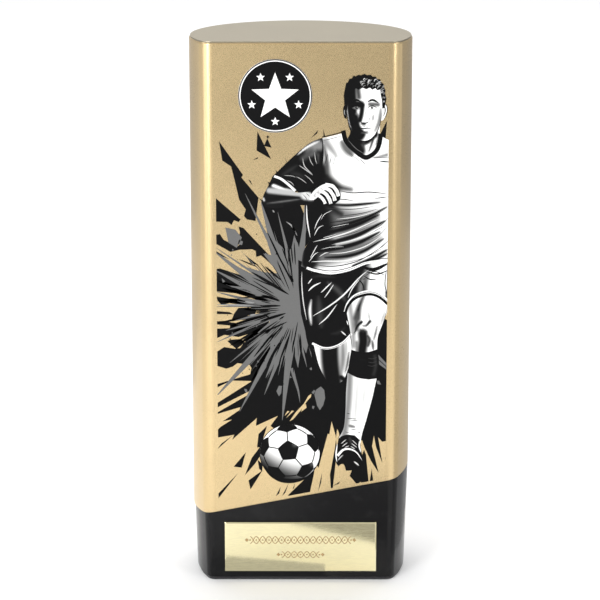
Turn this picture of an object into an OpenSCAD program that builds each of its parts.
// Tube award: a gold D-section tube with a printed front, standing on a slanted black base.
// The front looks along -Y, up is +Z, and the origin is on the table under the middle of the award.

/* [Overall] */
// Height from the table to the top of the cap
total_h = 220; // [190:1:245]

/* [Tube section] */
// Radius of the round sides and back of the tube
body_r = 44; // [42:0.5:48]
// Distance of the flat front ahead of the tube's axis
flat_y = 22.8; // [22:0.1:25]
// Radius of the two upright edges beside the flat front
corner_r = 5.5; // [5.5:0.5:7]
// Wall thickness of the tube
tube_wall = 1.6; // [1.2:0.1:2]
// Width of the bevel around the tube's top edge
top_bevel = 0.5; // [0.3:0.1:1]

/* [Slanted joint] */
// Height of the joint between tube and base, on the tube's axis
joint_z = 36.2; // [34:0.1:40]
// Slope of the joint, rising towards +X
joint_tilt = 10.9; // [6:0.1:12]

/* [Base] */
// Wall thickness of the moulded base
base_wall = 2.5; // [2:0.1:3]
// How far the base narrows for each millimetre of height, towards the table
base_draft = 0.03; // [0.01:0.005:0.04]
// Thickness of the sloping deck that the tube stands on
deck_t = 3; // [2.5:0.5:4]
// Height of the spigot that goes up inside the tube
spigot_h = 8; // [5:1:12]
// Thickness of the felt under the base
felt_t = 1; // [0.8:0.1:1.5]

/* [Cap] */
// Thickness of the cap's rim that rests on the tube
cap_rim_t = 0.5; // [0.4:0.1:1]
// How far the cap's rim stands back from the tube's face
cap_step = 0.45; // [0.3:0.05:0.8]
// Depth of the cap's skirt inside the tube
cap_skirt = 9; // [6:1:14]

/* [Front graphics] */
// Thickness of the printed panel
panel_t = 0.3; // [0.2:0.1:0.6]
// Diameter of the round badge
badge_d = 28.6; // [25:0.1:32]
// Distance of the badge's middle below the top of the cap
badge_drop = 21; // [16:0.5:40]
// Place of the badge's middle across the panel
badge_x = -9.8; // [-14:0.1:-6]

/* [Engraving plate] */
// Width of the plate
plate_w = 61.2; // [56:0.1:64]
// Height of the plate
plate_h = 21.2; // [18:0.1:21.5]
// Thickness of the plate
plate_t = 1; // [0.8:0.1:1.2]
// Height of the plate's middle above the table
plate_z = 14.8; // [14.2:0.1:15]

/* [Hidden] */
$fn = 96;

// Section: the corner circles' centres stay put when the section is inset.
corner_y = flat_y - corner_r;
corner_x = sqrt(pow(body_r - corner_r, 2) - pow(corner_y, 2));
corner_ray = [corner_x, -corner_y] / (body_r - corner_r);
reach = 3 * body_r;
// The corner circles stand a hair proud, so that they cross the flat and the round side cleanly.
swell = 0.02;

// Joint and base heights
joint_rise = tan(joint_tilt) * body_r;
joint_top = joint_z + joint_rise;
base_step = 0.05;
base_edge = 0.4;
felt_margin = 0.6;
base_facets = 120;
slice_t = 0.01;
draft_angle = atan(base_draft);
slip = 0.15;

// Cap and tie rod
tube_top = total_h - cap_rim_t;
cap_plug_t = 2.5;
cap_skirt_wall = 2;
cap_boss_d = 15;
cap_boss_h = 14;
insert_d = 8;
insert_h = 12;
rod_d = 5.9;
rod_hole_d = 6.6;
rod_bottom = 12;
rod_top = tube_top - cap_plug_t - 2;
rod_chamfer = 0.7;
deck_boss_d = 19;
deck_boss_z = 24;
washer_d = 18;
washer_t = 1.2;
lock_d = 11.2;
lock_t = 1.6;
lock_gap = 1.2;
nut_af = 10;
nut_h = 5;

// Ballast, bottom cover and their fasteners
cover_t = 2;
cover_z = felt_t;
ballast_size = [52, 34, 12];
ballast_round = 4;
ballast_mid = [0, 3];
ballast_z = 7;
ballast_hole_d = 25;
ballast_screw_x = 19;
ballast_boss_d = 9;
ballast_screw_d = 3.9;
ballast_screw_len = 24;
ballast_head_d = 7.4;
ballast_head_h = 2.4;
small_washer_d = 9;
small_washer_t = 0.8;
cover_boss_d = 7;
cover_screw_d = 2.9;
cover_screw_len = 14;
cover_head_d = 5.6;
cover_head_h = 1.5;
cover_boss_places = [[-30, -11], [30, -11], [-22, 27], [22, 27]];

// Front pieces
panel_glue_t = 0.1;
badge_t = 0.5;
badge_glue_t = 0.1;
plate_glue_t = 0.3;
plate_bevel = 0.5;
panel_margin = 0.4;
glue_margin = 0.5;
front_y = flat_y + panel_glue_t + panel_t + badge_glue_t + badge_t;
axis_y = (front_y - body_r) / 2;

// How far the base's face stands inside the tube's face at height z
function base_inset(z) = base_step + base_draft * (joint_top - z);

// Solid with the tube's section, inset by in0 at its bottom and in1 at its top
module section_solid(h, in0 = 0, in1 = 0) {
    intersection() {
        cylinder(h = h, r1 = body_r - in0, r2 = body_r - in1);
        linear_extrude(height = h)
            polygon([
                [0, 0],
                reach * corner_ray,
                [reach, reach],
                [-reach, reach],
                [-reach * corner_ray[0], reach * corner_ray[1]]
            ]);
    }
    rotate([90, 0, 90])
        linear_extrude(height = 2 * corner_x, center = true)
            polygon([[0, 0], [0, h], [in1 - flat_y, h], [in0 - flat_y, 0]]);
    for (side = [-1, 1])
        translate([side * corner_x, -corner_y, 0])
            cylinder(h = h, r1 = corner_r + swell - in0, r2 = corner_r + swell - in1);
}

// Everything below the sloping plane that crosses the axis at height z
module below_joint(z) {
    translate([0, 0, z])
        rotate([0, -joint_tilt, 0])
            translate([-reach, -reach, -reach])
                cube([2 * reach, 2 * reach, reach]);
}

// Moves the tube's axis to its place over the origin
module on_axis() {
    translate([0, axis_y, 0]) children();
}

module tube_shell() {
    color("goldenrod")
        on_axis()
            difference() {
                union() {
                    section_solid(tube_top - top_bevel);
                    translate([0, 0, tube_top - top_bevel])
                        section_solid(top_bevel, 0, top_bevel);
                }
                translate([0, 0, -1])
                    section_solid(total_h + 2, tube_wall, tube_wall);
                below_joint(joint_z);
            }
}

module top_cap() {
    plug_in = tube_wall + slip;
    skirt_in = plug_in + cap_skirt_wall;
    plug_z = tube_top - cap_plug_t;
    color("tan")
        on_axis()
            difference() {
                union() {
                    translate([0, 0, tube_top])
                        section_solid(cap_rim_t, cap_step, cap_step);
                    translate([0, 0, plug_z])
                        section_solid(cap_plug_t, plug_in, plug_in);
                    difference() {
                        translate([0, 0, tube_top - cap_skirt])
                            section_solid(cap_skirt - cap_plug_t, plug_in, plug_in);
                        translate([0, 0, tube_top - cap_skirt - 1])
                            section_solid(cap_skirt, skirt_in, skirt_in);
                    }
                    translate([0, 0, plug_z - cap_boss_h])
                        cylinder(h = cap_boss_h, d = cap_boss_d);
                }
                translate([0, 0, plug_z - cap_boss_h - 1])
                    cylinder(h = insert_h + 1, d = insert_d);
                translate([0, 0, plug_z - cap_boss_h])
                    cylinder(h = cap_boss_h, d = rod_hole_d);
            }
}

module cap_insert() {
    knurl_gap = 4;
    color("gold")
        on_axis()
            translate([0, 0, tube_top - cap_plug_t - cap_boss_h])
                difference() {
                    cylinder(h = insert_h, d = insert_d);
                    translate([0, 0, knurl_gap])
                        difference() {
                            cylinder(h = knurl_gap, d = insert_d + 2);
                            translate([0, 0, -1]) cylinder(h = knurl_gap + 2, d = insert_d - 0.8);
                        }
                    translate([0, 0, -1]) cylinder(h = insert_h + 2, d = rod_d + 0.1);
                }
}

module tie_rod() {
    length = rod_top - rod_bottom;
    color("silver")
        on_axis()
            translate([0, 0, rod_bottom]) {
                cylinder(h = rod_chamfer, d1 = rod_d - 2 * rod_chamfer, d2 = rod_d);
                translate([0, 0, rod_chamfer]) cylinder(h = length - 2 * rod_chamfer, d = rod_d);
                translate([0, 0, length - rod_chamfer])
                    cylinder(h = rod_chamfer, d1 = rod_d, d2 = rod_d - 2 * rod_chamfer);
            }
}

// Flat ring of a washer, standing on the XY plane
module ring(outer_d, inner_d, t) {
    difference() {
        cylinder(h = t, d = outer_d);
        translate([0, 0, -1]) cylinder(h = t + 2, d = inner_d);
    }
}

module deck_washer() {
    color("silver")
        on_axis()
            translate([0, 0, deck_boss_z - washer_t])
                ring(washer_d, rod_d + 0.5, washer_t);
}

module lock_washer() {
    color("dimgray")
        on_axis()
            translate([0, 0, deck_boss_z - washer_t - lock_t])
                difference() {
                    ring(lock_d, rod_d + 0.3, lock_t);
                    translate([0, -lock_gap / 2, -1]) cube([lock_d, lock_gap, lock_t + 2]);
                }
}

module rod_nut() {
    nut_chamfer_d = nut_af * 1.09;
    nut_chamfer_h = 0.8;
    color("silver")
        on_axis()
            translate([0, 0, deck_boss_z - washer_t - lock_t - nut_h])
                difference() {
                    intersection() {
                        cylinder(h = nut_h, d = nut_af / cos(30), $fn = 6);
                        union() {
                            cylinder(h = nut_chamfer_h, d1 = nut_af * 0.95, d2 = nut_chamfer_d + 0.9);
                            translate([0, 0, nut_chamfer_h])
                                cylinder(h = nut_h - 2 * nut_chamfer_h, d = nut_chamfer_d + 0.9);
                            translate([0, 0, nut_h - nut_chamfer_h])
                                cylinder(h = nut_chamfer_h, d1 = nut_chamfer_d + 0.9, d2 = nut_af * 0.95);
                        }
                    }
                    translate([0, 0, -1]) cylinder(h = nut_h + 2, d = rod_d + 0.1);
                }
}

// Thin slice of the tube's section at height z, inset by inset
module section_slice(z, inset) {
    translate([0, 0, z])
        linear_extrude(height = slice_t) {
            intersection() {
                circle(r = body_r - inset, $fn = base_facets);
                translate([-reach, (body_r - inset) * corner_ray[1]]) square([2 * reach, reach]);
            }
            for (side = [-1, 1])
                translate([side * corner_x, -corner_y])
                    circle(r = corner_r - inset, $fn = base_facets);
        }
}

// Outer form of the base: a drafted shell with a bevelled bottom edge, cut off along the joint
module base_outer() {
    edge_z = felt_t + base_edge;
    difference() {
        hull() {
            section_slice(felt_t, base_inset(felt_t) + base_edge);
            section_slice(edge_z, base_inset(edge_z));
            section_slice(joint_top, base_inset(joint_top));
        }
        difference() {
            translate([-reach, -reach, 0]) cube([2 * reach, 2 * reach, reach]);
            below_joint(joint_z);
        }
    }
}

// Hollow under the deck, open at the bottom
module base_hollow() {
    hollow_in = base_inset(felt_t) + base_wall;
    intersection() {
        section_solid(joint_top, hollow_in, hollow_in);
        below_joint(joint_z - deck_t);
    }
}

// Ring that goes up inside the tube and holds it square to the base
module base_spigot() {
    spigot_in = tube_wall + slip;
    spigot_wall = 2;
    sunk = 1;
    intersection() {
        difference() {
            section_solid(joint_top + spigot_h, spigot_in, spigot_in);
            translate([0, 0, -1])
                section_solid(joint_top + spigot_h + 2, spigot_in + spigot_wall, spigot_in + spigot_wall);
        }
        difference() {
            below_joint(joint_z + spigot_h);
            below_joint(joint_z - sunk);
        }
    }
}

// Posts that hang from the deck: rod boss, ballast bosses and cover bosses
module base_bosses() {
    intersection() {
        union() {
            translate([0, 0, deck_boss_z]) cylinder(h = joint_top, d = deck_boss_d);
            for (side = [-1, 1])
                translate([side * ballast_screw_x, ballast_mid[1], ballast_z + ballast_size[2]])
                    cylinder(h = joint_top, d = ballast_boss_d);
            for (place = cover_boss_places)
                translate([place[0], place[1], cover_z + cover_t])
                    cylinder(h = joint_top, d = cover_boss_d);
        }
        below_joint(joint_z - deck_t / 2);
    }
}

module base_shell() {
    color([0.07, 0.07, 0.08])
        on_axis()
            difference() {
                union() {
                    difference() {
                        base_outer();
                        base_hollow();
                    }
                    base_spigot();
                    base_bosses();
                }
                translate([0, 0, deck_boss_z - 1]) cylinder(h = joint_top, d = rod_hole_d);
                for (side = [-1, 1])
                    translate([side * ballast_screw_x, ballast_mid[1], ballast_z])
                        cylinder(h = ballast_screw_len - 4, d = ballast_screw_d + 0.1);
                for (place = cover_boss_places)
                    translate([place[0], place[1], cover_z])
                        cylinder(h = cover_screw_len + 1, d = cover_screw_d + 0.1);
            }
}

// Block with rounded upright corners, centred on the XY origin
module rounded_block(size, r) {
    x = size[0] / 2 - r;
    y = size[1] / 2 - r;
    for (place = [[-x, -y], [x, -y], [-x, y], [x, y]])
        translate([place[0], place[1], 0]) cylinder(h = size[2], r = r);
    translate([-size[0] / 2, -y, 0]) cube([size[0], 2 * y, size[2]]);
    translate([-x, -size[1] / 2, 0]) cube([2 * x, size[1], size[2]]);
}

module ballast_weight() {
    color("gray")
        on_axis()
            difference() {
                translate([ballast_mid[0], ballast_mid[1], ballast_z])
                    rounded_block(ballast_size, ballast_round);
                translate([0, 0, ballast_z - 1])
                    cylinder(h = ballast_size[2] + 2, d = ballast_hole_d);
                for (side = [-1, 1])
                    translate([side * ballast_screw_x, ballast_mid[1], ballast_z - 1])
                        cylinder(h = ballast_size[2] + 2, d = ballast_screw_d + 0.6);
            }
}

module ballast_washers() {
    color("silver")
        on_axis()
            for (side = [-1, 1])
                translate([side * ballast_screw_x, ballast_mid[1], ballast_z - small_washer_t])
                    ring(small_washer_d, ballast_screw_d + 0.4, small_washer_t);
}

module ballast_screws() {
    head_z = ballast_z - small_washer_t - ballast_head_h;
    slot_w = 1.2;
    slot_depth = 1.3;
    color("silver")
        on_axis()
            for (side = [-1, 1])
                translate([side * ballast_screw_x, ballast_mid[1], head_z])
                    difference() {
                        union() {
                            cylinder(h = 0.8, d1 = ballast_head_d - 1.6, d2 = ballast_head_d);
                            translate([0, 0, 0.8]) cylinder(h = ballast_head_h - 0.8, d = ballast_head_d);
                            cylinder(h = ballast_screw_len - 4, d = ballast_screw_d);
                        }
                        for (turn = [0, 90])
                            rotate([0, 0, turn])
                                translate([-2, -slot_w / 2, -1]) cube([4, slot_w, slot_depth + 1]);
                    }
}

module bottom_cover() {
    edge_in = base_inset(cover_z) + base_wall + slip + base_draft * cover_t;
    color("dimgray")
        on_axis()
            difference() {
                translate([0, 0, cover_z]) section_solid(cover_t, edge_in, edge_in);
                for (place = cover_boss_places)
                    translate([place[0], place[1], cover_z]) {
                        translate([0, 0, -1]) cylinder(h = cover_t + 2, d = cover_screw_d + 0.3);
                        translate([0, 0, -0.01])
                            cylinder(h = cover_head_h, d1 = cover_head_d + 0.3, d2 = cover_screw_d + 0.3);
                    }
            }
}

module cover_screws() {
    slot_w = 0.9;
    slot_depth = 1;
    color("silver")
        on_axis()
            for (place = cover_boss_places)
                translate([place[0], place[1], cover_z])
                    difference() {
                        union() {
                            cylinder(h = cover_head_h, d1 = cover_head_d, d2 = cover_screw_d);
                            cylinder(h = cover_screw_len, d = cover_screw_d);
                        }
                        for (turn = [0, 90])
                            rotate([0, 0, turn])
                                translate([-1.5, -slot_w / 2, -1]) cube([3, slot_w, slot_depth + 1]);
                    }
}

module felt_pad() {
    felt_in = base_inset(0) + felt_margin;
    color("black")
        on_axis()
            section_solid(felt_t, felt_in, felt_in);
}

// Sheet on the flat front with its lower edge along the joint, grown inwards by margin
module front_sheet(y, t, margin) {
    half_w = corner_x - 0.2 - margin;
    low = joint_z + (panel_margin + margin) / cos(joint_tilt);
    high = tube_top - top_bevel - 0.2 - margin;
    slope = tan(joint_tilt) * half_w;
    on_axis()
        translate([0, -y, 0])
            rotate([90, 0, 0])
                linear_extrude(height = t)
                    polygon([[-half_w, low - slope], [half_w, low + slope], [half_w, high], [-half_w, high]]);
}

module panel_adhesive() {
    color("white") front_sheet(flat_y, panel_glue_t, glue_margin);
}

module graphic_panel() {
    color("khaki") front_sheet(flat_y + panel_glue_t, panel_t, 0);
}

// Round sheet of diameter d on the panel
module badge_sheet(y, t, d) {
    on_axis()
        translate([badge_x, -y, total_h - badge_drop])
            rotate([90, 0, 0]) cylinder(h = t, d = d);
}

module badge_adhesive() {
    color("white") badge_sheet(flat_y + panel_glue_t + panel_t, badge_glue_t, badge_d - 2);
}

module badge_disc() {
    color("black") badge_sheet(front_y - badge_t, badge_t, badge_d);
}

// Places its children on the base's front face, with -Y pointing away from the base
module on_base_front() {
    on_axis()
        translate([0, base_inset(plate_z) - flat_y, plate_z])
            rotate([draft_angle, 0, 0]) children();
}

module plate_adhesive() {
    w = plate_w - 4;
    h = plate_h - 4;
    color("white")
        on_base_front()
            translate([-w / 2, -plate_glue_t, -h / 2]) cube([w, plate_glue_t, h]);
}

module engraving_plate() {
    back = -plate_glue_t;
    rim = back - plate_t + plate_bevel * 0.7;
    face = back - plate_t;
    x = plate_w / 2;
    z = plate_h / 2;
    color("palegoldenrod")
        on_base_front()
            intersection() {
                translate([0, 0, -z])
                    linear_extrude(height = plate_h)
                        polygon([
                            [-x, back], [-x, rim], [plate_bevel - x, face],
                            [x - plate_bevel, face], [x, rim], [x, back]
                        ]);
                rotate([90, 0, 90])
                    translate([0, 0, -x])
                        linear_extrude(height = plate_w)
                            polygon([
                                [back, -z], [rim, -z], [face, plate_bevel - z],
                                [face, z - plate_bevel], [rim, z], [back, z]
                            ]);
            }
}

tube_shell();
top_cap();
cap_insert();
tie_rod();
deck_washer();
lock_washer();
rod_nut();
base_shell();
ballast_weight();
ballast_washers();
ballast_screws();
bottom_cover();
cover_screws();
felt_pad();
panel_adhesive();
graphic_panel();
badge_adhesive();
badge_disc();
plate_adhesive();
engraving_plate();
